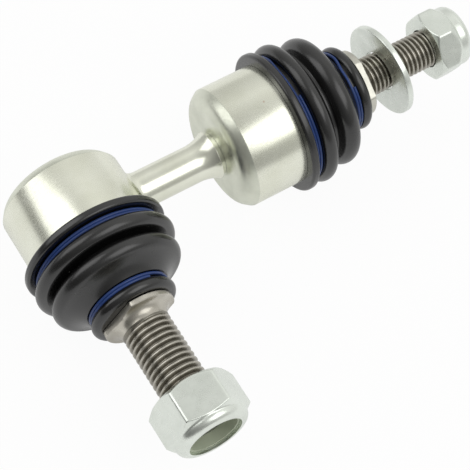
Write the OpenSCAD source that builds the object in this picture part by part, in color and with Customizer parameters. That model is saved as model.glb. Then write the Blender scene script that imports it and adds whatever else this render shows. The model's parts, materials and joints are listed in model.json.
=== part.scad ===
// Stabilizer link: a short rod with a ball joint at each end.
// The lower stud points along -Y and the upper stud along +X.
// The origin is the foot of the lower stud's thread, on its axis.

/* [Link] */
// Distance between the two ball centres, along the rod
link_length = 48.5; // [46:0.5:80]
// Diameter of the link rod
rod_d = 9.3; // [8:0.1:9.8]
// Diameter of the flared rod head at the upper housing
rod_head_d = 12.4; // [11.4:0.1:14]
// Radius of the flare that leads into the rod head
rod_flare_r = 9.7; // [6:0.1:14]
// Diameter of the weld behind the rod head
weld_d = 10.6; // [8:0.1:11]
// Height of the weld behind the rod head
weld_h = 1.2; // [0.6:0.1:2]
// Rise of the weld foot above the rod at the lower housing
foot_rise = 0.45; // [0.3:0.05:0.9]
// Straight length of the weld foot outside the lower housing
foot_l = 0.6; // [0.2:0.1:2]
// Gap between the rod's saddle end and the lower housing
weld_gap = 0.05; // [0.02:0.01:0.1]
// Height of a housing's shoulder above the weld foot
shoulder_rise = 0.3; // [0.25:0.05:0.6]

/* [Ball and seat] */
// Diameter of the ball on each stud
ball_d = 16; // [15.5:0.1:17.5]
// Diameter of the stud's neck above the ball
neck_d = 10; // [8:0.1:10.4]
// Largest lean of a stud, in degrees
swing = 20; // [12:1:22]
// Running gap between ball and seat
ball_gap = 0.05; // [0.02:0.01:0.1]
// Wall of the plastic seat at the ball's equator
seat_wall = 4.4; // [4:0.1:5.2]
// Thickness of the seat under the ball
seat_floor = 1.15; // [0.8:0.05:2.2]
// Angle kept free between the leaning neck and the seat's edge
seat_margin = 2; // [1:0.5:3.5]
// Gap kept between the leaning neck and the metal mouth
swing_gap = 0.6; // [0.3:0.1:1]

/* [Housing] */
// Gap between the housing bore and the pieces pressed into it
bore_gap = 0.05; // [0.02:0.01:0.1]
// Wall of the housing where the boot sits
housing_wall = 1.7; // [1.4:0.1:2.6]
// Step from the boot's land out to the full housing
housing_step = 1.3; // [0.8:0.1:2]
// Thickness of the housing's closed end
housing_floor = 1.8; // [1.4:0.1:3]
// Radius of the forged corner at the closed end
housing_corner = 4; // [2:0.1:4.4]
// Small ledge between the forged corner and the turned side
housing_ledge = 0.2; // [0.1:0.05:0.4]
// Thickness of the closing ring over the seat
closing_ring_h = 3.2; // [2.8:0.1:4]
// Thickness of the lip that is rolled over the closing ring
lip_h = 2.2; // [1.8:0.1:3]
// Rounding of the rolled lip
lip_round = 1.5; // [0.5:0.1:1.7]
// Length of the turned land that carries the upper boot
land_l = 6; // [5.7:0.1:6.4]
// Height by which the lower boot sits further along its housing
lower_lift = 1.9; // [0:0.1:2.1]

/* [Boot] */
// Running gap between the boot and the metal it sits on
boot_gap = 0.05; // [0.03:0.01:0.1]
// Thickness of the boot under the large ring
band_t = 1.4; // [1.1:0.1:1.8]
// Height of the flange above the band
flange_h = 2.55; // [1.8:0.05:3]
// Thickness of the flange
flange_t = 2.1; // [1.6:0.1:2.2]
// Rounding of the flange's rim
flange_round = 0.7; // [0.3:0.05:0.75]
// Wall of the folds
boot_wall = 1.5; // [1.1:0.1:1.7]
// Height of the first fold's crest above the band
fold_1_h = 2.55; // [2:0.05:3]
// Half width of the first fold
fold_1_w = 2.4; // [2.2:0.1:2.6]
// Distance from the large ring up to the first fold
fold_1_rise = 2.85; // [2.75:0.05:3]
// Shift of the first fold's hollow away from the large ring
fold_1_shift = 0.5; // [0.3:0.1:0.6]
// Height of the second fold's crest above the band
fold_2_h = 1.05; // [0.6:0.05:1.3]
// Half width of the second fold
fold_2_w = 2.8; // [2.6:0.1:3]
// Distance from the stud's collar back to the second fold
fold_2_drop = 9.6; // [9.3:0.1:9.8]
// Height of the valley's foot above the middle of the second fold
valley_h = 0.9; // [0.6:0.1:1.2]
// Height of the cone's end above the small ring's groove
cone_wall = 1.05; // [0.85:0.05:1.3]
// Thickness of the boot under the small ring
grip_t = 2.6; // [2.2:0.1:3]
// Radius of the rounded end lip
end_lip_r = 1.6; // [1.4:0.1:1.8]
// Height of the end lip above the small ring's groove
end_lip_h = 1.35; // [1:0.05:1.5]

/* [Boot rings] */
// Diameter of the large ring's wire
large_wire_d = 0.8; // [0.7:0.05:0.95]
// Distance from a housing's shoulder to the middle of the large ring
large_ring_rise = 3.2; // [3.15:0.05:3.35]
// Diameter of the small ring's wire
small_wire_d = 0.8; // [0.6:0.05:0.9]
// Distance from the stud's collar back to the middle of the small ring
small_ring_drop = 3.7; // [3.6:0.1:3.9]
// Distance between the two turns, as a share of the wire's diameter
turn_share = 0.94; // [0.88:0.01:0.97]
// Gap between a ring and the groove it lies in
ring_gap = 0.03; // [0.02:0.01:0.06]
// Clear width beside the turns of a ring
groove_play = 0.08; // [0.05:0.01:0.15]

/* [Studs] */
// Distance from the ball centre to the underside of the stud's collar
collar_at = 28; // [27.6:0.1:28.6]
// Gap between the boot's end and the collar
collar_gap = 0.1; // [0.05:0.05:0.3]
// Diameter of both studs where the boot grips them
boot_seat_d = 13.8; // [12.4:0.1:13.8]
// Length by which the boot's seat on the stud runs in past the cone
boot_seat_in = 1.4; // [0.5:0.1:2]
// Thread diameter of the lower stud
lower_thread_d = 12; // [10:0.1:12.1]
// Length of full thread on the lower stud
lower_thread_l = 18.7; // [14:0.1:26]
// Length of the lead thread that carries the lower nut
lower_lead_l = 6.3; // [5:0.1:7.6]
// Diameter of the lower collar
lower_collar_d = 18; // [16.6:0.1:19]
// Thickness of the lower collar
lower_collar_t = 1.4; // [1:0.1:3]
// Fillet from the lower collar to the thread
lower_fillet = 2.4; // [1.6:0.1:2.6]
// Distance across the lower collar's two wrench flats
lower_flats = 14.4; // [14.3:0.1:16]
// Turn of the lower wrench flats about the stud
lower_flats_turn = 141; // [0:1:360]
// Thread diameter of the upper stud
upper_thread_d = 10; // [8:0.1:10.4]
// Length of the full diameter on the upper stud, where a bracket sits
upper_fit_l = 5; // [3:0.1:6]
// Length of lead thread on the upper stud past the bracket's seat
upper_lead_l = 20; // [17:0.1:21]
// Diameter of the upper collar
upper_collar_d = 17; // [16:0.1:19]
// Thickness of the upper collar
upper_collar_t = 2.2; // [1.6:0.1:4]
// Fillet from the upper collar to the thread
upper_fillet = 0.8; // [0.5:0.1:1.6]
// Distance across the upper collar's two wrench flats
upper_flats = 14; // [13.9:0.1:15.5]
// Turn of the upper wrench flats about the stud
upper_flats_turn = 212; // [0:1:360]
// Amount by which a lead thread is smaller in radius
lead_step = 0.22; // [0.2:0.01:0.4]
// Bevel at the end of each stud
tip_bevel = 1; // [0.5:0.1:1.5]

/* [Nuts and washer] */
// Running gap between a stud's full thread and a nut
thread_gap = 0.06; // [0.03:0.01:0.1]
// Distance across the flats of the lower nut
lower_nut_af = 19; // [18.4:0.1:21]
// Height of the lower nut
lower_nut_h = 12; // [11.6:0.1:14]
// Height of the lower nut's hexagon
lower_hex_h = 9.6; // [6.5:0.1:10]
// Turn of the lower nut about its stud
lower_nut_turn = 2; // [0:1:60]
// Distance across the flats of the upper nut
upper_nut_af = 16; // [15.6:0.1:18]
// Height of the upper nut
upper_nut_h = 10; // [9.8:0.1:12]
// Height of the upper nut's hexagon
upper_hex_h = 6.2; // [5.5:0.1:7]
// Turn of the upper nut about its stud
upper_nut_turn = 21; // [0:1:60]
// Bevel angle of the hexagon's corners at the bearing face, in degrees
bearing_bevel = 40; // [25:1:45]
// Bevel angle of the lower nut's corners at the crown, in degrees
lower_crown_bevel = 28; // [20:1:45]
// Bevel angle of the upper nut's corners at the crown, in degrees
upper_crown_bevel = 56; // [30:1:60]
// Step from the hexagon in to the round crown
crown_step = 0.3; // [0.2:0.05:0.7]
// Wall of the crown round the nylon insert
crown_wall = 1; // [0.8:0.05:1.1]
// Thickness of the crown's rim that holds the insert
crown_rim = 0.8; // [0.6:0.05:0.95]
// Radius of the crown's rolled corner
crown_round = 2; // [1:0.1:2.2]
// Height of the nylon inserts
insert_h = 2.9; // [2.4:0.1:3]
// Gap round a nylon insert
insert_gap = 0.05; // [0.03:0.01:0.1]
// Clear radius between a nut's mouth and its stud
mouth_gap = 0.75; // [0.7:0.05:1.2]
// Gap from the full thread of the lower stud to its nut
nut_clear = 0.1; // [0.05:0.05:0.5]
// Diameter of the washer
washer_d = 24; // [20:0.5:26]
// Thickness of the washer
washer_t = 1.6; // [1.4:0.1:2.5]
// Radial gap between the washer and the upper stud
washer_gap = 0.25; // [0.2:0.05:0.5]
// Gap from the bracket's seat on the upper stud to the washer
washer_clear = 0.5; // [0.4:0.1:1]
// Lean of the loose washer on its stud, in degrees
washer_lean = 4; // [0:0.5:4]
// Direction about the stud in which the washer leans
washer_lean_turn = 114; // [0:1:360]
// Length of the upper stud's end inside its nut
upper_nut_grip = 5.9; // [4:0.1:6.2]

/* [Hidden] */
$fn = 96;

// Colours of the finishes
zinc = [0.80, 0.81, 0.76];
bright_zinc = [0.84, 0.88, 0.88];
bare_steel = [0.55, 0.53, 0.49];
rubber = [0.10, 0.10, 0.10];
ring_blue = [0.13, 0.22, 0.55];
seat_white = [0.90, 0.89, 0.84];
nylon = [0.60, 0.64, 0.54];

// How far a cut runs past the face that it opens
past = 1;

// Ball joint radii, from the ball outwards
ball_r = ball_d / 2;
neck_r = neck_d / 2;
seat_bore_r = ball_r + ball_gap;
seat_r = seat_bore_r + seat_wall;
bore_r = seat_r + bore_gap;
land_r = bore_r + housing_wall;
housing_r = land_r + housing_step;

// Ball joint heights along the stud, from the ball centre
rod_r = rod_d / 2;
foot_r = rod_r + foot_rise;
seat_bottom = -(seat_bore_r + seat_floor);
closed_end = seat_bottom - housing_floor;
upper_shoulder = foot_r + shoulder_rise;
lower_shoulder = upper_shoulder + lower_lift;
housing_end = upper_shoulder + land_l;
ring_top = housing_end - lip_h;
seat_top = ring_top - closing_ring_h;

// Half angle of the seat's mouth, and the mouth that a leaning neck needs at a height
seat_edge = asin(neck_r / ball_r) + swing + seat_margin;
function mouth_r(h) = h * tan(swing) + neck_r / cos(swing) + swing_gap;

// Boot, at the housing and the first fold
boot_bore_r = land_r + boot_gap;
band_r = boot_bore_r + band_t;
flange_r = band_r + flange_h;
fold_1_c = band_r + fold_1_h - fold_1_w;
large_turn = large_wire_d * turn_share;
large_groove_w = large_turn + large_wire_d + 2 * groove_play;

// Boot, from the collar down to the second fold
boot_end = collar_at - collar_gap;
boot_seat_r = boot_seat_d / 2;
grip_bore_r = boot_seat_r + boot_gap;
grip_r = grip_bore_r + grip_t;
end_lip_at = boot_end - end_lip_r;
end_lip_c = grip_r + end_lip_h - end_lip_r;
small_turn = small_wire_d * turn_share;
small_groove_w = small_turn + small_wire_d + 2 * groove_play;
small_ring_at = collar_at - small_ring_drop;
cone_foot_at = small_ring_at - small_groove_w / 2;
cone_foot_r = grip_r + cone_wall;
fold_2_at = collar_at - fold_2_drop;
fold_2_c = band_r + fold_2_h - fold_2_w;

// Angle round the second fold at which the cone leaves it as a tangent
cone_reach = norm([cone_foot_r - fold_2_c, cone_foot_at - fold_2_at]);
cone_turn = atan2(cone_foot_at - fold_2_at, cone_foot_r - fold_2_c);
cone_angle = cone_turn - acos(fold_2_w / cone_reach);
cone_dir = [cos(cone_angle), sin(cone_angle)];

// Studs, nuts and washer, along the stud from the ball centre
lower_r = lower_thread_d / 2;
lower_thread_at = collar_at + lower_collar_t + lower_fillet;
lower_thread_end = lower_thread_at + lower_thread_l;
lower_nut_at = lower_thread_end + nut_clear;
upper_r = upper_thread_d / 2;
upper_thread_at = collar_at + upper_collar_t + upper_fillet;
upper_fit_end = upper_thread_at + upper_fit_l;
washer_at = upper_fit_end + washer_clear;
upper_nut_at = upper_fit_end + upper_lead_l - upper_nut_grip;

// Puts a joint's own axis, +Z, on the lower stud
module at_lower() {
    translate([0, lower_thread_at, 0]) rotate([90, 0, 0]) children();
}

// Puts a joint's own axis, +Z, on the upper stud
module at_upper() {
    translate([link_length, lower_thread_at, 0]) rotate([0, 90, 0]) children();
}

// Rod: weld foot, shaft, flared head and the narrow weld behind it
module rod_profile() {
    head_r = rod_head_d / 2;
    weld_end = link_length + closed_end;
    head_at = weld_end - weld_h;
    flare_side = rod_flare_r - (head_r - rod_r);
    flare_l = sqrt(rod_flare_r * rod_flare_r - flare_side * flare_side);
    foot_end = housing_r + foot_l + foot_rise;
    square([rod_r, head_at]);
    translate([0, head_at - past]) square([min(weld_d / 2, head_r), weld_h + past]);
    difference() {
        translate([0, head_at - flare_l]) square([head_r, flare_l]);
        translate([rod_r + rod_flare_r, head_at - flare_l]) circle(rod_flare_r);
    }
    difference() {
        square([foot_r, foot_end]);
        translate([foot_r, foot_end]) circle(foot_rise);
    }
}

module link_rod() {
    color(zinc) translate([0, lower_thread_at, 0]) difference() {
        rotate([0, 90, 0]) rotate_extrude() rod_profile();
        rotate([90, 0, 0]) cylinder(r = housing_r + weld_gap, h = 2 * rod_head_d, center = true);
    }
}

// Housing: forged cup with a turned land and a rolled lip
module housing_outline(shoulder) {
    corner_c = housing_r - housing_ledge - housing_corner;
    corner_end = closed_end + housing_corner;
    polygon([
        [0, closed_end],
        [corner_c, closed_end],
        [housing_r - housing_ledge, corner_end],
        [housing_r, corner_end + housing_ledge],
        [housing_r, shoulder],
        [land_r, shoulder],
        [land_r, housing_end - lip_round],
        [land_r - lip_round, housing_end],
        [0, housing_end]
    ]);
    translate([corner_c, corner_end]) circle(housing_corner);
    translate([land_r - lip_round, housing_end - lip_round]) circle(lip_round);
}

module housing_cavity() {
    lip_r = mouth_r(housing_end);
    polygon([
        [0, seat_bottom],
        [bore_r, seat_bottom],
        [bore_r, ring_top],
        [lip_r, ring_top],
        [lip_r, housing_end + past],
        [0, housing_end + past]
    ]);
}

module housing(shoulder) {
    color(zinc) rotate_extrude() difference() {
        housing_outline(shoulder);
        housing_cavity();
    }
}

module lower_housing() {
    at_lower() housing(lower_shoulder);
}

module upper_housing() {
    at_upper() housing(upper_shoulder);
}

// Plastic seat that wraps the ball past its equator
module ball_seat() {
    reach = 2 * seat_r;
    color(seat_white) rotate_extrude() difference() {
        translate([0, seat_bottom]) square([seat_r, seat_top - seat_bottom]);
        circle(seat_bore_r);
        polygon([[0, 0], [reach * sin(seat_edge), reach * cos(seat_edge)], [0, reach]]);
    }
}

module lower_ball_seat() {
    at_lower() ball_seat();
}

module upper_ball_seat() {
    at_upper() ball_seat();
}

// Steel ring between the seat and the rolled lip
module closing_ring() {
    color(bare_steel) rotate_extrude() polygon([
        [mouth_r(seat_top), seat_top],
        [seat_r, seat_top],
        [seat_r, ring_top],
        [mouth_r(ring_top), ring_top]
    ]);
}

module lower_closing_ring() {
    at_lower() closing_ring();
}

module upper_closing_ring() {
    at_upper() closing_ring();
}

// Boot: flange, ring groove, two folds, cone, small groove and end lip
module boot_outline(shoulder) {
    boot_back = shoulder + boot_gap;
    fold_1_at = shoulder + large_ring_rise + fold_1_rise;
    cone_start = [fold_2_c, fold_2_at] + fold_2_w * cone_dir;
    translate([0, boot_back]) square([flange_r - flange_round, flange_t]);
    translate([0, boot_back + flange_round]) square([flange_r, flange_t - 2 * flange_round]);
    for (edge = [flange_round, flange_t - flange_round])
        translate([flange_r - flange_round, boot_back + edge]) circle(flange_round);
    translate([fold_1_c, fold_1_at]) circle(fold_1_w);
    translate([fold_2_c, fold_2_at]) circle(fold_2_w);
    translate([end_lip_c, end_lip_at]) circle(end_lip_r);
    polygon([
        [0, boot_back],
        [band_r, boot_back],
        [band_r, fold_1_at],
        [fold_2_c + valley_h, fold_2_at],
        cone_start,
        [cone_foot_r, cone_foot_at],
        [grip_r, cone_foot_at],
        [grip_r, end_lip_at],
        [end_lip_c, boot_end],
        [0, boot_end]
    ]);
}

module boot_cavity(shoulder) {
    hollow_1_at = shoulder + large_ring_rise + fold_1_rise + fold_1_shift;
    hollow_1_r = fold_1_w - fold_1_shift / 2 - boot_wall;
    hollow_2_r = fold_2_w - boot_wall;
    cone_start = [fold_2_c, fold_2_at] + hollow_2_r * cone_dir;
    cone_end = [cone_foot_r, cone_foot_at] - boot_wall * cone_dir;
    translate([fold_1_c, hollow_1_at]) circle(hollow_1_r);
    translate([0, hollow_1_at - hollow_1_r]) square([fold_1_c, 2 * hollow_1_r]);
    translate([fold_2_c, fold_2_at]) circle(hollow_2_r);
    polygon([
        [0, shoulder],
        [boot_bore_r, shoulder],
        [boot_bore_r, hollow_1_at + hollow_1_r],
        [fold_2_c, fold_2_at],
        cone_start,
        cone_end,
        [grip_bore_r, cone_end[1]],
        [grip_bore_r, boot_end + past],
        [0, boot_end + past]
    ]);
}

module boot_grooves(shoulder) {
    translate([band_r, shoulder + large_ring_rise - large_groove_w / 2]) square([flange_r, large_groove_w]);
    translate([grip_r, cone_foot_at]) square([flange_r, small_groove_w]);
}

module boot(shoulder) {
    color(rubber) rotate_extrude() difference() {
        boot_outline(shoulder);
        boot_cavity(shoulder);
        boot_grooves(shoulder);
    }
}

module lower_boot() {
    at_lower() boot(lower_shoulder);
}

module upper_boot() {
    at_upper() boot(upper_shoulder);
}

// Spring wire ring of two turns that lie side by side
module wire_ring(groove_r, at, wire_d, turn) {
    color(ring_blue) rotate_extrude() for (side = [-0.5, 0.5])
        translate([groove_r + ring_gap + wire_d / 2, at + side * turn]) circle(d = wire_d);
}

module large_ring(shoulder) {
    wire_ring(band_r, shoulder + large_ring_rise, large_wire_d, large_turn);
}

module lower_boot_large_ring() {
    at_lower() large_ring(lower_shoulder);
}

module upper_boot_large_ring() {
    at_upper() large_ring(upper_shoulder);
}

module small_ring() {
    wire_ring(grip_r, small_ring_at, small_wire_d, small_turn);
}

module lower_boot_small_ring() {
    at_lower() small_ring();
}

module upper_boot_small_ring() {
    at_upper() small_ring();
}

// Ball, neck, boot seat, collar and fillet of a stud, up to the foot of its thread
module shank_profile(thread_r, collar_d, collar_t, fillet) {
    taper_at = fold_2_at - fold_2_w;
    collar_end = collar_at + collar_t;
    intersection() {
        circle(ball_r);
        translate([0, -ball_r]) square([ball_r, ball_d]);
    }
    polygon([
        [0, 0],
        [neck_r, 0],
        [neck_r, taper_at],
        [boot_seat_r, cone_foot_at - boot_seat_in],
        [boot_seat_r, collar_at],
        [collar_d / 2, collar_at],
        [collar_d / 2, collar_end],
        [0, collar_end]
    ]);
    difference() {
        translate([0, collar_end]) square([thread_r + fillet, fillet]);
        translate([thread_r + fillet, collar_end + fillet]) circle(fillet);
    }
}

// Threaded end: full diameter first, then the lead with a bevelled tip
module thread_profile(thread_r, from, full_l, lead_l) {
    lead_r = thread_r - lead_step;
    tip = from + full_l + lead_l;
    polygon([
        [0, from],
        [thread_r, from],
        [thread_r, from + full_l],
        [lead_r, from + full_l],
        [lead_r, tip - tip_bevel],
        [lead_r - tip_bevel, tip],
        [0, tip]
    ]);
}

// Two flats across a collar
module wrench_flats(across, turn, collar_d, collar_t) {
    for (side = [0, 180])
        rotate([0, 0, turn + side]) translate([across / 2, -collar_d / 2, collar_at - past])
            cube([collar_d, collar_d, collar_t + 2 * past]);
}

module lower_ball_stud() {
    color(bare_steel) at_lower() difference() {
        rotate_extrude() {
            shank_profile(lower_r, lower_collar_d, lower_collar_t, lower_fillet);
            thread_profile(lower_r, lower_thread_at, lower_thread_l, lower_lead_l);
        }
        wrench_flats(lower_flats, lower_flats_turn, lower_collar_d, lower_collar_t);
    }
}

module upper_ball_stud() {
    color(bare_steel) at_upper() difference() {
        rotate_extrude() {
            shank_profile(upper_r, upper_collar_d, upper_collar_t, upper_fillet);
            thread_profile(upper_r, upper_thread_at, upper_fit_l, upper_lead_l);
        }
        wrench_flats(upper_flats, upper_flats_turn, upper_collar_d, upper_collar_t);
    }
}

// Lock nut with a bevelled hexagon and a round crown, its bearing face at zero
module lock_nut(af, height, hex_h, crown_bevel, thread_r) {
    flat_r = af / 2;
    corner_r = flat_r / cos(30);
    bearing_h = (corner_r - flat_r) * tan(bearing_bevel);
    crown_at = hex_h - (corner_r - flat_r) * tan(crown_bevel);
    crown_r = flat_r - crown_step;
    pocket_h = insert_h + 2 * insert_gap;
    pocket_at = height - crown_rim - pocket_h;
    difference() {
        union() {
            intersection() {
                cylinder(r = corner_r, h = hex_h, $fn = 6);
                rotate_extrude() polygon([
                    [0, 0],
                    [flat_r, 0],
                    [corner_r, bearing_h],
                    [corner_r, crown_at],
                    [flat_r, hex_h],
                    [0, hex_h]
                ]);
            }
            translate([0, 0, crown_at]) rotate_extrude() {
                square([crown_r, height - crown_round - crown_at]);
                square([crown_r - crown_round, height - crown_at]);
                translate([crown_r - crown_round, height - crown_round - crown_at])
                    circle(crown_round);
            }
        }
        translate([0, 0, -past]) cylinder(r = thread_r + thread_gap, h = height);
        translate([0, 0, pocket_at]) cylinder(r = crown_r - crown_wall, h = pocket_h);
        translate([0, 0, pocket_at]) cylinder(r = thread_r + mouth_gap, h = height);
    }
}

module lower_nut() {
    color(bright_zinc) at_lower() translate([0, 0, lower_nut_at]) rotate([0, 0, lower_nut_turn])
        lock_nut(lower_nut_af, lower_nut_h, lower_hex_h, lower_crown_bevel, lower_r);
}

module upper_nut() {
    color(bright_zinc) at_upper() translate([0, 0, upper_nut_at]) rotate([0, 0, upper_nut_turn])
        lock_nut(upper_nut_af, upper_nut_h, upper_hex_h, upper_crown_bevel, upper_r);
}

// Nylon ring held in a nut's crown
module nut_insert(af, height, thread_r) {
    insert_r = af / 2 - crown_step - crown_wall - insert_gap;
    color(nylon) translate([0, 0, height - crown_rim - insert_gap - insert_h]) difference() {
        cylinder(r = insert_r, h = insert_h);
        translate([0, 0, -past]) cylinder(r = thread_r + thread_gap, h = insert_h + 2 * past);
    }
}

module lower_nut_insert() {
    at_lower() translate([0, 0, lower_nut_at]) nut_insert(lower_nut_af, lower_nut_h, lower_r);
}

module upper_nut_insert() {
    at_upper() translate([0, 0, upper_nut_at]) nut_insert(upper_nut_af, upper_nut_h, upper_r);
}

module upper_washer() {
    color(bright_zinc) at_upper() translate([0, 0, washer_at]) rotate([0, 0, washer_lean_turn])
        rotate([0, washer_lean, 0]) difference() {
            cylinder(d = washer_d, h = washer_t);
            translate([0, 0, -past]) cylinder(r = upper_r + washer_gap, h = washer_t + 2 * past);
        }
}

link_rod();
lower_housing();
upper_housing();
lower_ball_seat();
upper_ball_seat();
lower_closing_ring();
upper_closing_ring();
lower_ball_stud();
upper_ball_stud();
lower_boot();
upper_boot();
lower_boot_large_ring();
upper_boot_large_ring();
lower_boot_small_ring();
upper_boot_small_ring();
lower_nut();
upper_nut();
lower_nut_insert();
upper_nut_insert();
upper_washer();
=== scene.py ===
"""Looks of a stabilizer link: a short rod with a sealed ball joint at each end.

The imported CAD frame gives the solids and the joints. This script dresses the solids and builds a
finer mesh for the rod, the cups, boots and wire rings, the studs, the nuts and the washer. Sizes of
pieces are in millimetres, and angles in degrees.
"""

import json
import logging
import math
from dataclasses import dataclass, field
from enum import Enum

import bmesh
import bpy
import numpy as np
from mathutils import Matrix, Vector


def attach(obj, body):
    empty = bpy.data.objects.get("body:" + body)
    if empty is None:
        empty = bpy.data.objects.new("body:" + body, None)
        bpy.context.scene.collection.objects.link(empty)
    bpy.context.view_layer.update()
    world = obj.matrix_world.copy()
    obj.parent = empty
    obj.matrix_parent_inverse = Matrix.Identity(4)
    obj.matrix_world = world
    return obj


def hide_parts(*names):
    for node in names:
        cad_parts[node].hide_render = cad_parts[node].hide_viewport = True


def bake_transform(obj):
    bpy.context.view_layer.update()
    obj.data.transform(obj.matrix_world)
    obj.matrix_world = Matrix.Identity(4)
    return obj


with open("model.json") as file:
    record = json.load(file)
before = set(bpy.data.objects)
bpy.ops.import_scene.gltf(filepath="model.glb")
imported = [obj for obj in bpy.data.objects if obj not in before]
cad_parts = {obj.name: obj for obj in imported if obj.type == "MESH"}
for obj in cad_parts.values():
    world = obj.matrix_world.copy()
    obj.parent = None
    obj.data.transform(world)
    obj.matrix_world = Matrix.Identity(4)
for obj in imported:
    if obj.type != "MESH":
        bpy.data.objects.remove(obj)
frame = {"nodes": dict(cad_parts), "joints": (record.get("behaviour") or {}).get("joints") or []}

LOG = logging.getLogger("stabilizer_link")
MM = 0.001
# Points nearer than this, in metres, become one.
MERGE = 1e-7
# Edges that turn by more than this stay sharp.
SHARP = 34.0
# Range that most of a noise pattern covers.
PATTERN_LOW, PATTERN_HIGH = 0.3, 0.7
# Colour sockets of Blender's Mix node.
MIX_FACTOR, MIX_FIRST, MIX_SECOND, MIX_RESULT = 0, 6, 7, 2
# Mesh attribute that paints a thread's crests light and its roots dark, as painted highlight and
# painted shade.
PAINTED_CREST_LIGHT = "painted_crest_light"
Pair = tuple[float, float]
Triple = tuple[float, float, float]
Color = Triple
Profile = list[Pair]
Socket = bpy.types.NodeSocket
Material = bpy.types.Material
Piece = bpy.types.Object


class Side(Enum):
    """The two ball joints of the link."""

    LOWER = "lower"
    UPPER = "upper"


class Slot(Enum):
    """Material slots of the record."""

    ZINC = "zinc_body"
    BRIGHT = "bright_zinc"
    STUD = "stud_steel"
    RUBBER = "boot_rubber"
    WIRE = "ring_wire"


class Tree:
    """Node tree of one material, with short ways to add and join nodes."""

    def __init__(self, name: str) -> None:
        """Makes a material with a plain surface.

        Args:
            name: Name of the material.
        """
        self.material = bpy.data.materials.new(name)
        self.material.use_nodes = True
        self.nodes = self.material.node_tree.nodes
        self.links = self.material.node_tree.links
        self.surface = self.nodes["Principled BSDF"]
        self.coords = self.nodes.new("ShaderNodeTexCoord").outputs["Object"]

    def set(self, **values: object) -> None:
        """Sets constant inputs of the surface.

        Args:
            **values: Input names, with underscores for spaces, and their values.
        """
        for key, value in values.items():
            self.surface.inputs[key.replace("_", " ")].default_value = value

    def noise(self, scale: float, detail: float = 4.0) -> Socket:
        """Adds a noise pattern fixed to the part.

        Args:
            scale: Cycles per metre.
            detail: Octaves of the noise.

        Returns:
            The pattern's value socket.
        """
        pattern = self.nodes.new("ShaderNodeTexNoise")
        pattern.inputs["Scale"].default_value = scale
        pattern.inputs["Detail"].default_value = detail
        self.links.new(self.coords, pattern.inputs["Vector"])
        return pattern.outputs["Fac"]

    def spread(self, value: Socket, low: float, high: float) -> Socket:
        """Maps a pattern onto a range.

        Args:
            value: Socket with a noise pattern.
            low: Result at the pattern's low end.
            high: Result at the pattern's high end.

        Returns:
            Socket with the mapped value.
        """
        node = self.nodes.new("ShaderNodeMapRange")
        node.inputs["From Min"].default_value = PATTERN_LOW
        node.inputs["From Max"].default_value = PATTERN_HIGH
        node.inputs["To Min"].default_value = low
        node.inputs["To Max"].default_value = high
        self.links.new(value, node.inputs["Value"])
        return node.outputs["Result"]

    def dots(self, scale: float, size: float) -> Socket:
        """Adds a few scattered dots.

        Args:
            scale: Dots per metre.
            size: Radius of a dot as a share of the distance between them.

        Returns:
            Socket that is 1 in a dot and 0 outside.
        """
        cells = self.nodes.new("ShaderNodeTexVoronoi")
        cells.inputs["Scale"].default_value = scale
        edge = self.nodes.new("ShaderNodeMapRange")
        edge.inputs["From Min"].default_value = size
        edge.inputs["From Max"].default_value = 0.5 * size
        self.links.new(self.coords, cells.inputs["Vector"])
        self.links.new(cells.outputs["Distance"], edge.inputs["Value"])
        return edge.outputs["Result"]

    def mix(self, factor: Socket, first: Color | Socket, second: Color) -> Socket:
        """Mixes two colours by a pattern.

        Args:
            factor: Socket that mixes them.
            first: Colour at 0, or a socket that gives it.
            second: Colour at 1.

        Returns:
            Socket with the mixed colour.
        """
        node = self.nodes.new("ShaderNodeMix")
        node.data_type = "RGBA"
        if isinstance(first, tuple):
            node.inputs[MIX_FIRST].default_value = (*first, 1.0)
        else:
            self.links.new(first, node.inputs[MIX_FIRST])
        node.inputs[MIX_SECOND].default_value = (*second, 1.0)
        self.links.new(factor, node.inputs[MIX_FACTOR])
        return node.outputs[MIX_RESULT]

    def relief(self, height: Socket, depth: float) -> None:
        """Gives the surface a fine relief.

        Args:
            height: Socket with the relief's pattern.
            depth: Depth of the relief in metres.
        """
        bump = self.nodes.new("ShaderNodeBump")
        bump.inputs["Distance"].default_value = depth
        self.links.new(height, bump.inputs["Height"])
        self.links.new(bump.outputs["Normal"], self.surface.inputs["Normal"])

    def feed(self, name: str, value: Socket) -> None:
        """Joins a socket to one of the surface's inputs."""
        self.links.new(value, self.surface.inputs[name])


@dataclass(frozen=True)
class MetalFinish:
    """Plated or bare metal with fine marks of turning and a mottled tint."""

    name: str
    light: Color
    dark: Color
    rough: Pair
    marks: float = 600.0
    depth: float = 0.004
    stain: Color | None = None
    mottle: float = 160.0
    spots: Pair = (70.0, 0.035)

    def build(self) -> Material:
        """Makes the material.

        Returns:
            The finished material.
        """
        tree = Tree(self.name)
        marks = tree.noise(self.marks)
        mottle = tree.noise(self.mottle, detail=3.0)
        tree.set(Metallic=1.0)
        plate = tree.mix(tree.spread(mottle, 0.0, 1.0), self.light, self.dark)
        if self.stain:
            plate = tree.mix(tree.dots(*self.spots), plate, self.stain)
        tree.feed("Base Color", plate)
        tree.feed("Roughness", tree.spread(marks, *self.rough))
        tree.relief(marks, self.depth * MM)
        return tree.material


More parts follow.
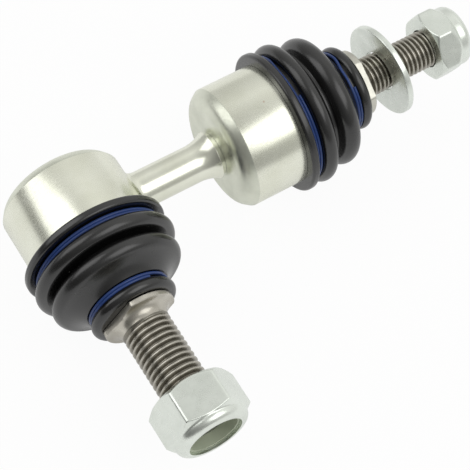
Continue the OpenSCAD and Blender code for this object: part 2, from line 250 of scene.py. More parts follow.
@dataclass(frozen=True)
class SoftFinish:
    """Rubber, plastic or paint with a fine grain."""

    name: str
    light: Color
    dark: Color
    rough: Pair
    grain: float = 900.0
    depth: float = 0.01
    shine: float = 0.5
    dust: Color | None = None
    cloud: float = 120.0
    specks: Pair = (150.0, 0.035)

    def build(self) -> Material:
        """Makes the material.

        Returns:
            The finished material.
        """
        tree = Tree(self.name)
        grain = tree.noise(self.grain, detail=5.0)
        cloud = tree.noise(self.cloud, detail=3.0)
        tree.set(Metallic=0.0, Specular_IOR_Level=self.shine)
        shade = tree.mix(tree.spread(cloud, 0.0, 1.0), self.light, self.dark)
        if self.dust:
            shade = tree.mix(tree.dots(*self.specks), shade, self.dust)
        tree.feed("Base Color", shade)
        tree.feed("Roughness", tree.spread(cloud, *self.rough))
        tree.relief(grain, self.depth * MM)
        return tree.material


@dataclass(frozen=True)
class ThreadFinish:
    """Thread painted light on its crests and dark in its roots: a painted highlight and painted
    shade.
    """

    name: str
    crest: Color
    root: Color
    rough: Pair
    metal: float = 0.9
    grain: float = 700.0
    depth: float = 0.006

    def build(self) -> Material:
        """Makes the material.

        Returns:
            The finished material.
        """
        tree = Tree(self.name)
        painted_crest_light = tree.nodes.new("ShaderNodeAttribute")
        painted_crest_light.attribute_name = PAINTED_CREST_LIGHT
        grain = tree.noise(self.grain)
        tree.set(Metallic=self.metal)
        # Crests painted light as highlight, roots painted dark as shade.
        tree.feed("Base Color", tree.mix(painted_crest_light.outputs["Fac"], self.root, self.crest))
        tree.feed("Roughness", tree.spread(grain, *self.rough))
        tree.relief(grain, self.depth * MM)
        return tree.material


@dataclass
class Axis:
    """A ball joint's own frame: +Z along its stud, from the ball centre."""

    side: Side
    matrix: Matrix = field(init=False)

    def __post_init__(self) -> None:
        """Reads the ball centre and the stud's direction from the frame's joints."""
        joint = next(j for j in frame["joints"] if j["name"] == f"{self.side.value}_stud_spin")
        along = Vector(joint["axis"])
        across = Vector((1, 0, 0)) if self.side is Side.LOWER else Vector((0, 0, -1))
        turn = Matrix((across, along.cross(across), along)).transposed()
        self.matrix = Matrix.Translation(Vector(joint["pos_m"])) @ turn.to_4x4()

    def point(self, height: float) -> Vector:
        """Point on the stud's axis at a height in millimetres."""
        return self.matrix @ Vector((0, 0, height * MM))


def solid(
    name: str,
    grid: np.ndarray,
    faces: list[tuple[int, ...]],
    matrix: Matrix,
    sharp: float = SHARP,
    painted_crest_light: np.ndarray | None = None,
) -> Piece:
    """Makes a closed, smooth object from a grid of points.

    Args:
        name: Name of the object.
        grid: Points in millimetres, rows by columns by three.
        faces: Numbers of the points of each face.
        matrix: Frame that the points are given in.
        sharp: Edges that turn by more than this stay sharp.
        painted_crest_light: Share of painted crest highlight, against painted root shade, at each
            point of a thread.

    Returns:
        The new object, in the part's frame.
    """
    data = bpy.data.meshes.new(name)
    data.from_pydata((grid.reshape(-1, 3) * MM).tolist(), [], faces)
    data.transform(matrix)
    if painted_crest_light is not None:
        mark = data.attributes.new(PAINTED_CREST_LIGHT, "FLOAT", "POINT")
        mark.data.foreach_set("value", painted_crest_light.astype(np.float32).ravel())
    work = bmesh.new()
    work.from_mesh(data)
    bmesh.ops.remove_doubles(work, verts=work.verts, dist=MERGE)
    rims = [edge for edge in work.edges if edge.is_boundary]
    bmesh.ops.holes_fill(work, edges=rims, sides=0)
    bmesh.ops.recalc_face_normals(work, faces=work.faces)
    work.to_mesh(data)
    work.free()
    data.shade_smooth()
    data.set_sharp_from_angle(angle=math.radians(sharp))
    made = bpy.data.objects.new(name, data)
    bpy.context.scene.collection.objects.link(made)
    return made


class Lathe:
    """Builds meshes that are turned or wound round an axis."""

    def __init__(self, matrix: Matrix) -> None:
        """Keeps the frame whose +Z the meshes are turned round."""
        self.matrix = matrix

    def mesh(self, name: str, grid: np.ndarray, wrap: bool) -> Piece:
        """Makes an object from a grid of points whose rows run round the axis.

        Args:
            name: Name of the object.
            grid: Points in millimetres, rows by columns by three.
            wrap: Whether the last row joins the first.

        Returns:
            The new object, in the part's frame.
        """
        rows, cols = grid.shape[:2]
        faces = [
            (i * cols + j, i * cols + (j + 1) % cols, k * cols + (j + 1) % cols, k * cols + j)
            for i, k in [(i, (i + 1) % rows) for i in range(rows if wrap else rows - 1)]
            for j in range(cols)
        ]
        return solid(name, grid, faces, self.matrix)

    def turned(self, profile: Profile, cols: int = 160) -> np.ndarray:
        """Turns a profile of radius and height round the axis.

        Args:
            profile: Points of the profile in millimetres.
            cols: Points round the axis.

        Returns:
            Grid of points.
        """
        angle = np.linspace(0, 2 * math.pi, cols, endpoint=False)
        line = np.array(profile, float)
        r, h = line[:, :1], line[:, 1:]
        return np.stack([r * np.cos(angle), r * np.sin(angle), h + 0 * angle], axis=2)


def arc(center: Pair, radius: float, start: float, end: float, count: int = 10) -> Profile:
    """Points of an arc in a profile.

    Args:
        center: Radius and height of the arc's centre.
        radius: Radius of the arc.
        start: First angle, from the outward direction towards +height.
        end: Last angle.
        count: Number of points.

    Returns:
        The points in order.
    """
    angles = np.radians(np.linspace(start, end, count))
    return [(center[0] + radius * math.cos(a), center[1] + radius * math.sin(a)) for a in angles]


def eased(share: np.ndarray) -> np.ndarray:
    """Share between 0 and 1 that starts and ends gently."""
    return share * share * (3 - 2 * share)


def softened(line: Profile, reach: float = 0.35, step: float = 0.12) -> Profile:
    """Rounds the corners of a profile.

    Args:
        line: Points of the profile.
        reach: Width of the rounding in millimetres.
        step: Distance between the new points.

    Returns:
        Evenly spaced points with the same two ends.
    """
    points = np.array(line, float)
    along = np.concatenate([[0.0], np.cumsum(np.linalg.norm(np.diff(points, axis=0), axis=1))])
    places = np.linspace(0.0, along[-1], int(along[-1] / step))
    even = np.stack([np.interp(places, along, points[:, k]) for k in (0, 1)], axis=1)
    half = int(3 * reach / step)
    weights = np.exp(-0.5 * (np.arange(-half, half + 1) * step / reach) ** 2)
    padded = np.pad(even, ((half, half), (0, 0)), mode="edge")
    weights /= weights.sum()
    soft = np.stack([np.convolve(padded[:, k], weights, "valid") for k in (0, 1)], axis=1)
    soft[0], soft[-1] = even[0], even[-1]
    return [(float(r), float(h)) for r, h in soft]


@dataclass
class Boot:
    """Rubber bellows with a flange, two folds, two ring grooves and an end lip.

    A fold or the lip is given by its centre's radius and height and by its own radius. Heights in
    groove and fold_1 count from the cup's shoulder, and all others from the ball centre.
    """

    axis: Axis
    shoulder: float
    fold_2: Triple
    gap: float = 0.05
    bore: float = 14.25
    band: float = 15.65
    flange: float = 18.2
    flange_t: float = 2.1
    rim_round: float = 0.7
    groove: Pair = (2.34, 4.06)
    fold_1: Triple = (16.15, 6.05, 2.05)
    fold_end: float = 100.0
    valley: float = 13.7
    valley_wall: float = 1.0
    wall: float = 1.5
    cone: Pair = (10.6, 23.44)
    cone_sag: float = 0.5
    grip: float = 9.55
    grip_bore: float = 6.95
    grip_step: float = 0.4
    small_groove: Pair = (23.44, 25.16)
    lip: Triple = (9.3, 26.3, 1.6)
    cone_points: int = 12
    cols: int = 144

    def leave(self) -> float:
        """Angle round the second fold at which the cone starts."""
        reach = Vector((self.cone[0] - self.fold_2[0], self.cone[1] - self.fold_2[1]))
        return math.degrees(math.atan2(reach.y, reach.x) - math.acos(self.fold_2[2] / reach.length))

    def valley_at(self) -> float:
        """Height of the valley, midway between the two folds."""
        top_1 = self.shoulder + self.fold_1[1] + self.fold_1[2]
        return (top_1 + self.fold_2[1] - self.fold_2[2]) / 2

    def large_ring_at(self) -> float:
        """Height of the middle of the large ring's groove."""
        return self.shoulder + sum(self.groove) / 2

    def small_ring_at(self) -> float:
        """Height of the middle of the small ring's groove."""
        return sum(self.small_groove) / 2

    def base(self) -> Profile:
        """Line of the flange and the large ring's groove.

        Returns:
            Points of the line.
        """
        back = self.shoulder + self.gap
        rim, top = self.flange - self.rim_round, back + self.flange_t
        line = [(self.bore, back)]
        line += arc((rim, back + self.rim_round), self.rim_round, -90, 0)
        line += arc((rim, top - self.rim_round), self.rim_round, 0, 90)
        return line + [(self.band, top), (self.band, self.shoulder + self.groove[1])]

    def folds(self) -> Profile:
        """Line of the two folds and the cone.

        Returns:
            Points of the line.
        """
        center_1 = (self.fold_1[0], self.shoulder + self.fold_1[1])
        start = math.asin((self.groove[1] - self.fold_1[1]) / self.fold_1[2])
        line = arc(center_1, self.fold_1[2], math.degrees(start), self.fold_end, count=34)
        line += [(self.valley, self.valley_at())]
        line += arc(self.fold_2[:2], self.fold_2[2], -90, self.leave(), count=30)
        turn = math.radians(self.leave())
        inward = -Vector((math.cos(turn), math.sin(turn)))
        top, end = Vector(line[-1]), Vector(self.cone)
        for share in np.linspace(0, 1, self.cone_points)[1:]:
            sag = self.cone_sag * 4 * share * (1 - share)
            line.append(tuple(top.lerp(end, share) + inward * sag))
        return softened(line)

    def outside(self) -> Profile:
        """Outer line of the boot from its back face to its end.

        Returns:
            Points of the line.
        """
        low, high = self.small_groove
        bite = math.degrees(math.asin((high - self.lip[1]) / self.lip[2]))
        line = self.base() + self.folds() + [(self.grip, low), (self.grip, high)]
        return line + arc(self.lip[:2], self.lip[2], bite, 90, count=16)

    def inside(self) -> Profile:
        """Inner line of the boot from its end back to its bore.

        Returns:
            Points of the line.
        """
        turn = math.radians(self.leave())
        outward = Vector((math.cos(turn), math.sin(turn)))
        cone_end = Vector(self.cone) - outward * self.wall
        cone_start = Vector(self.fold_2[:2]) + outward * (self.fold_2[2] - self.wall)
        return [
            (self.grip_bore, self.lip[1] + self.lip[2]),
            (self.grip_bore, self.cone[1] + self.grip_step),
            tuple(cone_end),
            tuple(cone_start),
            self.fold_2[:2],
            (self.valley - self.valley_wall, self.valley_at()),
            (self.fold_1[0], self.shoulder + self.fold_1[1]),
            (self.bore, self.shoulder + self.groove[1] - self.grip_step),
        ]

    def build(self, finish: Material) -> Piece:
        """Makes the boot.

        Args:
            finish: Material of the rubber.

        Returns:
            The boot.
        """
        side = self.axis.side.value
        lathe = Lathe(self.axis.matrix)
        grid = lathe.turned(self.outside() + self.inside(), self.cols)
        piece = lathe.mesh(f"{side}_boot_rubber", grid, wrap=True)
        piece.data.materials.append(finish)
        start = self.axis.point(self.shoulder + self.groove[1])
        end = self.axis.point(self.cone[1])
        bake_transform(piece)
        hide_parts(f"{side}_boot")
        return piece


@dataclass
class WireRing:
    """Spring wire wound nearly twice round a groove, with a step from one turn to the next.

    Its end, gap and step are angles, and share is the distance of the turns in wire widths.
    """

    axis: Axis
    label: str
    body: str
    groove: float
    middle: float
    end: float
    wire: float = 0.8
    gap: float = 80.0
    step: float = 30.0
    clear: float = 0.04
    share: float = 0.94
    rows: int = 260
    cols: int = 14

    def build(self, finish: Material) -> Piece:
        """Makes the ring.

        Args:
            finish: Material of the wire.

        Returns:
            The ring.
        """
        turn = np.linspace(0, 720 - self.gap, self.rows)
        rise = np.clip((turn - 360 + self.gap / 2 + self.step / 2) / self.step, 0, 1)
        height = self.middle + self.wire * self.share * (eased(rise) - 0.5)
        angle = np.radians(self.end - self.gap - turn)
        around = np.linspace(0, 2 * math.pi, self.cols, endpoint=False)
        thick = self.wire / 2
        r = self.groove + self.clear + thick + thick * np.cos(around)
        level = height[:, None] + thick * np.sin(around)
        across, along = np.cos(angle)[:, None] * r, np.sin(angle)[:, None] * r
        grid = np.stack([across, along, level], axis=2)
        side = self.axis.side.value
        piece = Lathe(self.axis.matrix).mesh(f"{side}_{self.label}_wire", grid, wrap=False)
        piece.data.materials.append(finish)
        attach(piece, f"{side}_{self.body}")
        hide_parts(f"{side}_{self.label}")
        return piece


@dataclass
class Stud:
    """Ball stud with a neck, a flatted collar and a cut thread.

    The thread's depth and run_in are shares of its pitch. On the way from the middle of a crest to
    the middle of a root, the crest's flat ends at crest_to and the root's flat starts at root_from.
    """

    axis: Axis
    thread: float
    pitch: float
    start: float
    full_end: float
    tip: float
    collar: float
    collar_end: float
    fillet: float
    flats: float
    flats_turn: float
    ball: float = 8.0
    neck: float = 5.0
    taper_at: float = 15.6
    seat: float = 6.9
    seat_at: float = 22.04
    collar_at: float = 28.0
    lead_step: float = 0.22
    bevel: float = 1.0
    edge: float = 0.2
    depth: float = 0.6
    crest_to: float = 0.25
    root_from: float = 0.875
    run_in: float = 0.8
    # Power that narrows the painted highlight on the crests.
    crest_light_power: int = 3
    sharp: float = 50.0
    spare_turns: int = 3
    per_turn: int = 20
    cols: int = 96
    shank_cols: int = 240

    def shank(self) -> Profile:
        """Line of the stud from the ball to the foot of the thread.

        Returns:
            Points of the line.
        """
        meet = math.degrees(math.acos(self.neck / self.ball))
        rim = self.collar - self.edge
        line = arc((0, 0), self.ball, -90, meet, count=40)
        line += [(self.neck, self.taper_at), (self.seat, self.seat_at), (self.seat, self.collar_at)]
        line += [(rim, self.collar_at), (self.collar, self.collar_at + self.edge)]
        line += [(self.collar, self.collar_end - self.edge), (rim, self.collar_end)]
        foot = (self.thread + self.fillet, self.collar_end + self.fillet)
        line += arc(foot, self.fillet, 270, 180)
        return line + [(0.0, self.start)]

    def flatted(self, grid: np.ndarray) -> np.ndarray:
        """Cuts the two wrench flats into the collar's rows.

        Args:
            grid: Grid of the turned shank.

        Returns:
            Grid with the flats.
        """
        turn = math.radians(self.flats_turn)
        reach = np.abs(grid[..., 0] * math.cos(turn) + grid[..., 1] * math.sin(turn))
        half = self.flats / 2
        scale = np.where(grid[..., 2] >= self.collar_at, half / np.maximum(reach, half), 1.0)
        cut = grid.copy()
        cut[..., :2] *= scale[..., None]
        return cut

    def cut_thread(self) -> Piece:
        """Makes the thread as rows that follow its helix.

        Returns:
            The thread, with its painted crest highlight and root shade marked.
        """
        share = np.linspace(0, 1, self.cols, endpoint=False)
        angle = share * 2 * math.pi
        turns = int((self.tip - self.start) / self.pitch) + self.spare_turns
        row = np.arange(-self.per_turn, turns * self.per_turn)[:, None] / self.per_turn
        height = np.clip(self.start + (row + share) * self.pitch, self.start, self.tip)
        phase = np.abs(((row % 1.0) - 0.5) * 2)
        slope = self.root_from - self.crest_to
        crest = np.clip((self.root_from - phase) / slope, 0, 1) + 0 * angle
        fade = np.clip((height - self.start) / (self.run_in * self.pitch), 0, 1)
        lead = self.thread - self.lead_step
        top = np.where(height > self.full_end, lead, self.thread)
        radius = top - self.depth * self.pitch * (1 - crest) * fade
        radius = np.minimum(radius, lead - self.bevel + np.maximum(self.tip - height, 0))
        grid = np.stack([radius * np.cos(angle), radius * np.sin(angle), height], axis=2)
        # The crest share sets the painted highlight on crests and the painted shade in roots.
        return self.joined(grid, crest**self.crest_light_power * fade)

    def joined(self, grid: np.ndarray, painted_crest_light: np.ndarray) -> Piece:
        """Joins the helix rows, each row's end meeting the start of the row one turn on.

        Args:
            grid: Rows by columns of points in millimetres.
            painted_crest_light: Share of painted crest highlight, against painted root shade, at
                each point.

        Returns:
            The thread.
        """
        rows, cols = grid.shape[:2]
        faces = []
        for i in range(rows - 1):
            for j in range(cols - 1):
                a = i * cols + j
                faces.append((a, a + 1, a + cols + 1, a + cols))
            if i + 1 + self.per_turn < rows:
                a, b = i * cols + cols - 1, (i + self.per_turn) * cols
                faces.append((a, b, b + cols, a + cols))
        name = f"{self.axis.side.value}_stud_thread"
        return solid(name, grid, faces, self.axis.matrix, self.sharp, painted_crest_light)

    def build(self, steel: Material, thread_painted_light: Material) -> list[Piece]:
        """Makes the shank and the thread.

        Args:
            steel: Material of the shank.
            thread_painted_light: Material of the thread, with painted crest highlight and root
                shade.

        Returns:
            The two pieces.
        """
        side = self.axis.side.value
        lathe = Lathe(self.axis.matrix)
        grid = self.flatted(lathe.turned(self.shank(), self.shank_cols))
        shank = lathe.mesh(f"{side}_stud_shank", grid, wrap=False)
        shank.data.materials.append(steel)
        thread = self.cut_thread()
        thread.data.materials.append(thread_painted_light)
        for piece in (shank, thread):
            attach(piece, f"{side}_stud")
        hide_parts(f"{side}_ball_stud")
        return [shank, thread]


@dataclass
class Cup:
    """Housing of a ball joint: a forged round end, a turned side and a land for the boot.

    The end's curve stays inside the side by the ledge and meets it at the crease's angle.
    """

    axis: Axis
    shoulder: float
    radius: float = 15.5
    closed_end: float = -11.0
    corner: float = 4.0
    ledge: float = 0.15
    crease: float = 34.0
    edge: float = 0.12
    land: float = 14.2
    end: float = 11.4
    lip_round: float = 1.5
    mouth: float = 10.1
    lip_at: float = 9.2
    bore: float = 12.5
    floor_at: float = -9.2
    cols: int = 192

    def outline(self) -> Profile:
        """Line of the cup from the middle of its closed end to the middle of its floor.

        Returns:
            Points of the line.
        """
        hub = self.radius - self.ledge - self.corner
        forged = self.closed_end + self.corner
        line = [(0.0, self.closed_end), (hub / 2, self.closed_end)]
        line += arc((hub, forged), self.corner, -90, -self.crease, count=24)
        lean = math.radians(self.crease)
        brow = line[-1][1] + (self.radius - line[-1][0]) / math.tan(lean)
        line += [(self.radius - self.edge * math.sin(lean), brow - self.edge * math.cos(lean))]
        line += [(self.radius, brow + self.edge), (self.radius, self.shoulder)]
        line += [(self.land, self.shoulder)]
        lip = (self.land - self.lip_round, self.end - self.lip_round)
        line += arc(lip, self.lip_round, 0, 90)
        line += [(self.mouth, self.end), (self.mouth, self.lip_at), (self.bore, self.lip_at)]
        return line + [(self.bore, self.floor_at), (0.0, self.floor_at)]

    def build(self, forged: Material, turned: Material) -> Piece:
        """Makes the cup.

        Args:
            forged: Material of the closed end, rougher as forged, with its darker colour partly the
                forged finish and partly painted shade.
            turned: Material of the rest.

        Returns:
            The cup.
        """
        side = self.axis.side.value
        lathe = Lathe(self.axis.matrix)
        piece = lathe.mesh(f"{side}_cup", lathe.turned(self.outline(), self.cols), wrap=False)
        piece.data.materials.append(turned)
        piece.data.materials.append(forged)
        back = self.axis.matrix.inverted()
        forged_end = (self.closed_end + self.corner) * MM
        # Faces of the closed end get the darker forged zinc: a rougher forged finish, and a darker
        # colour that is partly painted shade.
        for face in piece.data.polygons:
            face.material_index = int((back @ face.center).z < forged_end)
        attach(piece, "link")
        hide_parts(f"{side}_housing")
        return piece


@dataclass
class Rod:
    """Link rod with a weld foot on the lower cup and a flared head against the upper one."""

    lower: Axis
    upper: Axis
    radius: float = 4.65
    cup: float = 15.5
    foot: float = 5.6
    foot_end: float = 17.3
    flare_from: float = 31.04
    flare: float = 9.7
    head_end: float = 36.3
    weld: float = 5.3
    end: float = 37.45
    saddle: float = 4.0
    soft: float = 0.16
    cols: int = 128

    def outline(self) -> Profile:
        """Line of the rod from the lower cup to the upper one.

        Returns:
            Points of the line.
        """
        rise = self.foot - self.radius
        reach = self.foot_end - self.cup
        sag = np.radians(np.linspace(0, 90, 10))
        line = [(self.foot - rise * math.sin(a), self.foot_end - reach * math.cos(a)) for a in sag]
        spread = math.degrees(math.asin((self.head_end - self.flare_from) / self.flare))
        center = (self.radius + self.flare, self.flare_from)
        line += arc(center, self.flare, 180, 180 - spread, count=20)
        line += [(self.weld, self.head_end), (self.weld, self.end)]
        foot = [(0.0, self.cup), (self.foot / 2, self.cup)]
        return foot + softened(line, self.soft) + [(0.0, self.end)]

    def build(self, finish: Material) -> Piece:
        """Makes the rod, its foot shaped to the lower cup's side.

        Args:
            finish: Material of the rod.

        Returns:
            The rod.
        """
        matrix = self.upper.matrix.copy()
        matrix.translation = self.lower.matrix.translation
        lathe = Lathe(matrix)
        grid = lathe.turned(self.outline(), self.cols)
        share = np.clip((grid[..., 2] - self.cup) / self.saddle, 0, 1)
        wrap = np.sqrt(self.cup**2 - grid[..., 0] ** 2) - self.cup
        grid[..., 2] += wrap * (1 - eased(share))
        piece = lathe.mesh("rod", grid, wrap=False)
        piece.data.materials.append(finish)
        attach(piece, "link")
        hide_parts("link_rod")
        return piece


@dataclass
class Nut:
    """Lock nut: a bevelled hexagon under a round crown that holds a nylon ring."""

    axis: Axis
    at: float
    across: float
    height: float
    hexagon: float
    crown_bevel: float
    turn: float
    thread: float
    bearing_bevel: float = 40.0
    crown_step: float = 0.3
    crown_round: float = 2.0
    crown_wall: float = 1.0
    rim: float = 0.8
    pocket: float = 3.0
    mouth_gap: float = 0.75
    thread_gap: float = 0.06
    edge: float = 0.12
    soft: float = 0.1
    least_slant: float = 0.3
    cols: int = 240

    def reach(self, angle: np.ndarray) -> np.ndarray:
        """Distance from the axis to the hexagon's side, with rounded corners.

        Args:
            angle: Angles round the axis.

        Returns:
            Distance at each angle.
        """
        sides = np.radians(self.turn + 30 + 60 * np.arange(6))
        slant = np.clip(np.cos(angle[:, None] - sides), self.least_slant, 1)
        return -self.edge * np.log(np.exp(-self.across / 2 / slant / self.edge).sum(axis=1))

    def outside(self) -> Profile:
        """Line that limits the hexagon and shapes the crown, from the bore to the mouth.

        Returns:
            Points of the line.
        """
        flat = self.across / 2
        corner = flat / math.cos(math.radians(30))
        low = (corner - flat) * math.tan(math.radians(self.bearing_bevel))
        high = self.hexagon - (corner - flat) * math.tan(math.radians(self.crown_bevel))
        crown = flat - self.crown_step
        line = [(self.thread + self.thread_gap, 0.0), (flat, 0.0), (corner, low), (corner, high)]
        line += [(flat, self.hexagon), (crown, self.hexagon + self.crown_step)]
        dome = (crown - self.crown_round, self.height - self.crown_round)
        line += arc(dome, self.crown_round, 0, 90, count=14)
        line += [(self.thread + self.mouth_gap, self.height)]
        return softened(line, reach=self.soft, step=self.soft)

    def inside(self) -> Profile:
        """Line of the mouth and of the pocket for the nylon ring.

        Returns:
            Points of the line.
        """
        pocket = self.across / 2 - self.crown_step - self.crown_wall
        top = self.height - self.rim
        return [
            (self.thread + self.mouth_gap, top),
            (pocket, top),
            (pocket, top - self.pocket),
            (self.thread + self.thread_gap, top - self.pocket),
        ]

    def build(self, finish: Material) -> Piece:
        """Makes the nut.

        Args:
            finish: Material of the nut.

        Returns:
            The nut.
        """
        lathe = Lathe(self.axis.matrix)
        line = np.array(self.outside() + self.inside())
        angle = np.linspace(0, 2 * math.pi, self.cols, endpoint=False)
        round_share = np.exp(-line[:, :1] / self.edge)
        flat_share = np.exp(-self.reach(angle)[None, :] / self.edge)
        radius = -self.edge * np.log(round_share + flat_share)
        level = line[:, 1:] + self.at + 0 * angle
        grid = np.stack([radius * np.cos(angle), radius * np.sin(angle), level], axis=2)
        side = self.axis.side.value
        piece = lathe.mesh(f"{side}_lock_nut", grid, wrap=True)
        piece.data.materials.append(finish)
        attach(piece, f"{side}_nut_shell")
        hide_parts(f"{side}_nut")
        return piece


@dataclass
class Washer:
    """Loose flat washer that leans on its stud."""

    axis: Axis
    at: float = 36.5
    radius: float = 12.0
    hole: float = 5.25
    thickness: float = 1.6
    edge: float = 0.3
    lean: float = 4.0
    lean_turn: float = 114.0
    edge_points: int = 6

    def build(self, finish: Material) -> Piece:
        """Makes the washer with rounded edges.

        Args:
            finish: Material of the washer.

        Returns:
            The washer.
        """
        inner, outer = self.hole + self.edge, self.radius - self.edge
        low, high = self.edge, self.thickness - self.edge
        corners = ((outer, low), (outer, high), (inner, high), (inner, low))
        line = []
        for quarter, corner in enumerate(corners):
            line += arc(corner, self.edge, 90 * quarter - 90, 90 * quarter, self.edge_points)
        turn = Matrix.Rotation(math.radians(self.lean_turn), 4, "Z")
        tilt = turn @ Matrix.Rotation(math.radians(self.lean), 4, "Y")
        lathe = Lathe(self.axis.matrix @ Matrix.Translation((0, 0, self.at * MM)) @ tilt)
        piece = lathe.mesh("washer", lathe.turned(line), wrap=True)
        piece.data.materials.append(finish)
        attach(piece, "upper_washer_body")
        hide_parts("upper_washer")
        return piece


@dataclass
class Joint:
    """Cup, boot and wire rings of one ball joint."""

    axis: Axis
    shoulder: float
    fold_2: Triple
    large_end: float
    small_end: float

    def build(self, paint: dict[str, Material]) -> list[Piece]:
        """Makes the four pieces.

        Args:
            paint: Materials by name.

        Returns:
            The cup, the boot, the large ring and the small ring.
        """
        cup = Cup(self.axis, self.shoulder)
        boot = Boot(self.axis, self.shoulder, self.fold_2)
        grooves = (
            ("boot_large_ring", "boot_body", boot.band, boot.large_ring_at(), self.large_end),
            ("boot_small_ring", "boot_end", boot.grip, boot.small_ring_at(), self.small_end),
        )
        made = [cup.build(paint["zinc_forged_painted_shade"], paint["zinc_turned"]), boot.build(paint["rubber"])]
        return made + [WireRing(self.axis, *groove).build(paint["wire"]) for groove in grooves]


@dataclass
class Dressing:
    """Materials of the CAD nodes, the replaced ones too."""

    finishes: dict[str, Material]

    def apply(self) -> list[str]:
        """Gives every listed node its material.

        Returns:
            Names of the dressed nodes.
        """
        for name, material in self.finishes.items():
            data = frame["nodes"][name].data
            data.materials.clear()
            data.materials.append(material)
        return list(self.finishes)


@dataclass(frozen=True)
class SoftBox:
    """Soft lamp that looks at the middle of the part, with its lengths in metres."""

    name: str
    at: Triple
    size: Pair
    watts: float
    aim: Triple = (0.04, 0.02, 0.0)

    def hang(self) -> None:
        """Hangs the lamp and turns it towards the part."""
        data = bpy.data.lights.new(self.name, "AREA")
        data.shape = "RECTANGLE"
        data.size, data.size_y = self.size
        data.energy = self.watts
        made = bpy.data.objects.new(self.name, data)
        look = Vector(self.aim) - Vector(self.at)
        made.location = self.at
        made.rotation_mode = "QUATERNION"
        made.rotation_quaternion = look.to_track_quat("-Z", "Y")
        bpy.context.scene.collection.objects.link(made)


@dataclass
class Studio:
    """Camera, floor, world and lights."""

    place: Triple = (-81.902, -144.355, 349.330)
    right: Triple = (0.852609, -0.520820, 0.042484)
    up: Triple = (0.440568, 0.760184, 0.477515)
    back: Triple = (-0.280995, -0.388416, 0.877596)
    lens: float = 130.213
    sensor: float = 36.0
    clip_m: Pair = (0.01, 20.0)
    floor_at: float = -18.25
    floor_half_m: float = 4.0
    floor_color: Color = (0.90, 0.90, 0.90)
    floor_white: float = 0.95
    floor_shine: float = 0.5
    room: tuple[Pair, ...] = (
        (0.0, 0.44), (0.35, 0.48), (0.6, 0.56), (0.78, 0.66), (0.92, 0.58), (1.0, 0.52)
    )
    room_blue: float = 0.98
    bright_wall: Triple = (0.963, 0.27, 0.0)
    wall_levels: Pair = (0.30, 1.70)
    lamps: tuple[SoftBox, ...] = (
        SoftBox("left_box", (-0.56, 0.495, 0.728), (0.70, 1.0), 2.6),
        SoftBox("front_box", (0.33, -0.465, 0.79), (0.75, 0.73), 2.0),
    )

    def camera(self) -> None:
        """Places the camera that was fitted to the photo."""
        data = bpy.data.cameras.new("photo_camera")
        data.sensor_width = self.sensor
        data.lens = self.lens
        data.clip_start, data.clip_end = self.clip_m
        made = bpy.data.objects.new("photo_camera", data)
        turn = Matrix((self.right, self.up, self.back)).transposed().to_4x4()
        made.matrix_world = Matrix.Translation(Vector(self.place) * MM) @ turn
        bpy.context.scene.collection.objects.link(made)
        bpy.context.scene.camera = made

    def floor(self) -> None:
        """Lays a pale floor that shows white round the part's soft shadow."""
        data = bpy.data.meshes.new("floor")
        half, z = self.floor_half_m, self.floor_at * MM
        corners = [(-half, -half, z), (half, -half, z), (half, half, z), (-half, half, z)]
        data.from_pydata(corners, [], [(0, 1, 2, 3)])
        made = bpy.data.objects.new("floor", data)
        tree = Tree("floor_paper")
        tree.set(Base_Color=(*self.floor_color, 1.0), Roughness=0.9, Specular_IOR_Level=0.1)
        white = tree.nodes.new("ShaderNodeEmission")
        rays = tree.nodes.new("ShaderNodeLightPath")
        shares = {
            "Is Camera Ray": self.floor_white,
            "Is Glossy Ray": self.floor_shine,
            "Is Transmission Ray": self.floor_shine,
        }
        seen = None
        for name, level in shares.items():
            part = tree.nodes.new("ShaderNodeMath")
            part.operation = "MULTIPLY_ADD"
            part.inputs[1].default_value = level
            part.inputs[2].default_value = 0.0
            tree.links.new(rays.outputs[name], part.inputs[0])
            if seen:
                tree.links.new(seen, part.inputs[2])
            seen = part.outputs["Value"]
        blend = tree.nodes.new("ShaderNodeMixShader")
        tree.links.new(seen, blend.inputs["Fac"])
        tree.links.new(tree.surface.outputs["BSDF"], blend.inputs[1])
        tree.links.new(white.outputs["Emission"], blend.inputs[2])
        tree.links.new(blend.outputs["Shader"], tree.nodes["Material Output"].inputs["Surface"])
        data.materials.append(tree.material)
        bpy.context.scene.collection.objects.link(made)

    def world(self) -> None:
        """Lights the part from a pale room that is brighter towards one wall."""
        world = bpy.data.worlds.new("studio")
        bpy.context.scene.world = world
        world.use_nodes = True
        nodes, links = world.node_tree.nodes, world.node_tree.links
        nodes.clear()
        coords = nodes.new("ShaderNodeTexCoord")
        split = nodes.new("ShaderNodeSeparateXYZ")
        ramp = nodes.new("ShaderNodeValToRGB")
        while len(ramp.color_ramp.elements) < len(self.room):
            ramp.color_ramp.elements.new(0.5)
        for stop, (height, level) in zip(ramp.color_ramp.elements, self.room):
            stop.position = height
            stop.color = (level, level, self.room_blue * level, 1.0)
        side = nodes.new("ShaderNodeVectorMath")
        side.operation = "DOT_PRODUCT"
        side.inputs[1].default_value = self.bright_wall
        wall = nodes.new("ShaderNodeMapRange")
        wall.inputs["From Min"].default_value = -1.0
        wall.inputs["To Min"].default_value, wall.inputs["To Max"].default_value = self.wall_levels
        room = nodes.new("ShaderNodeBackground")
        out = nodes.new("ShaderNodeOutputWorld")
        links.new(coords.outputs["Generated"], split.inputs["Vector"])
        links.new(coords.outputs["Generated"], side.inputs[0])
        links.new(split.outputs["Z"], ramp.inputs["Fac"])
        links.new(side.outputs["Value"], wall.inputs["Value"])
        links.new(ramp.outputs["Color"], room.inputs["Color"])
        links.new(wall.outputs["Result"], room.inputs["Strength"])
        links.new(room.outputs["Background"], out.inputs["Surface"])

    def build(self) -> None:
        """Sets up the whole studio."""
        bpy.context.scene.view_settings.view_transform = "Standard"
        self.camera()
        self.floor()
        self.world()
        for lamp in self.lamps:
            lamp.hang()


